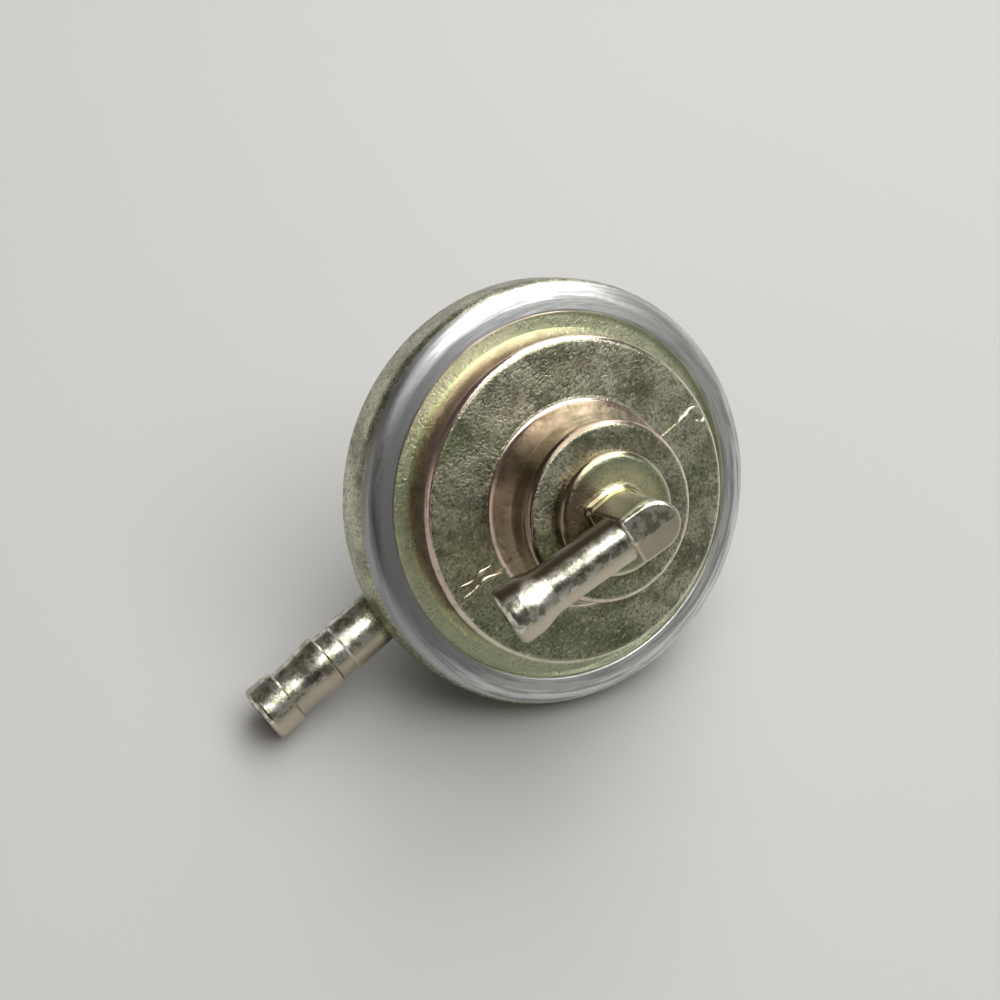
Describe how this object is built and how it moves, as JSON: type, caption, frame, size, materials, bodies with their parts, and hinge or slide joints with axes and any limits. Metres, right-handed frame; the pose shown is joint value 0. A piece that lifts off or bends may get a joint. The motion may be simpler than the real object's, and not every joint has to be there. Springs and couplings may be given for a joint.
{
  "type": "fuel tap",
  "caption": "Round vacuum fuel tap in chromated zinc: rolled rim, stepped cover with a vacuum elbow, two barbed fuel spigots.",
  "frame": {"origin": "on the tap's axis, in the middle of the outlet spigot's hose land", "axes": "+Z along the tap's axis from the outlet spigot towards the vacuum cover, +X along the fuel inlet spigot towards its tip"},
  "size_m": [0.0598, 0.0448, 0.0488],
  "materials": {
    "zinc_body": "die-cast zinc with yellow chromate passivation",
    "zinc_cover": "die-cast zinc with yellow chromate passivation",
    "diaphragm_rubber": "fabric reinforced nitrile",
    "seal_rubber": "moulded nitrile",
    "spacer_zinc": "plain die-cast zinc",
    "plate_steel": "zinc plated pressing",
    "stem_brass": "turned",
    "spring_steel": "bright spring wire"
  },
  "bodies": {
    "housing": {"fuel_body": "zinc_body", "vacuum_cover": "zinc_cover", "vacuum_diaphragm": "diaphragm_rubber", "fuel_diaphragm": "diaphragm_rubber", "spacer_ring": "spacer_zinc", "return_spring": "spring_steel"},
    "valve": {"distance_plate": "plate_steel", "backing_plate": "plate_steel", "spring_cup": "plate_steel", "stem_washer": "plate_steel", "valve_stem": "stem_brass", "seat_o_ring": "seal_rubber"}
  },
  "joints": [
    {"name": "valve_slide", "type": "slide", "parent": "housing", "child": "valve", "axis": [0, 0, 1], "range_m": [0, 0.0016], "stiffness_N_per_m": 400, "springref_m": -0.01, "deforming": ["return_spring", "vacuum_diaphragm", "fuel_diaphragm"]}
  ]
}
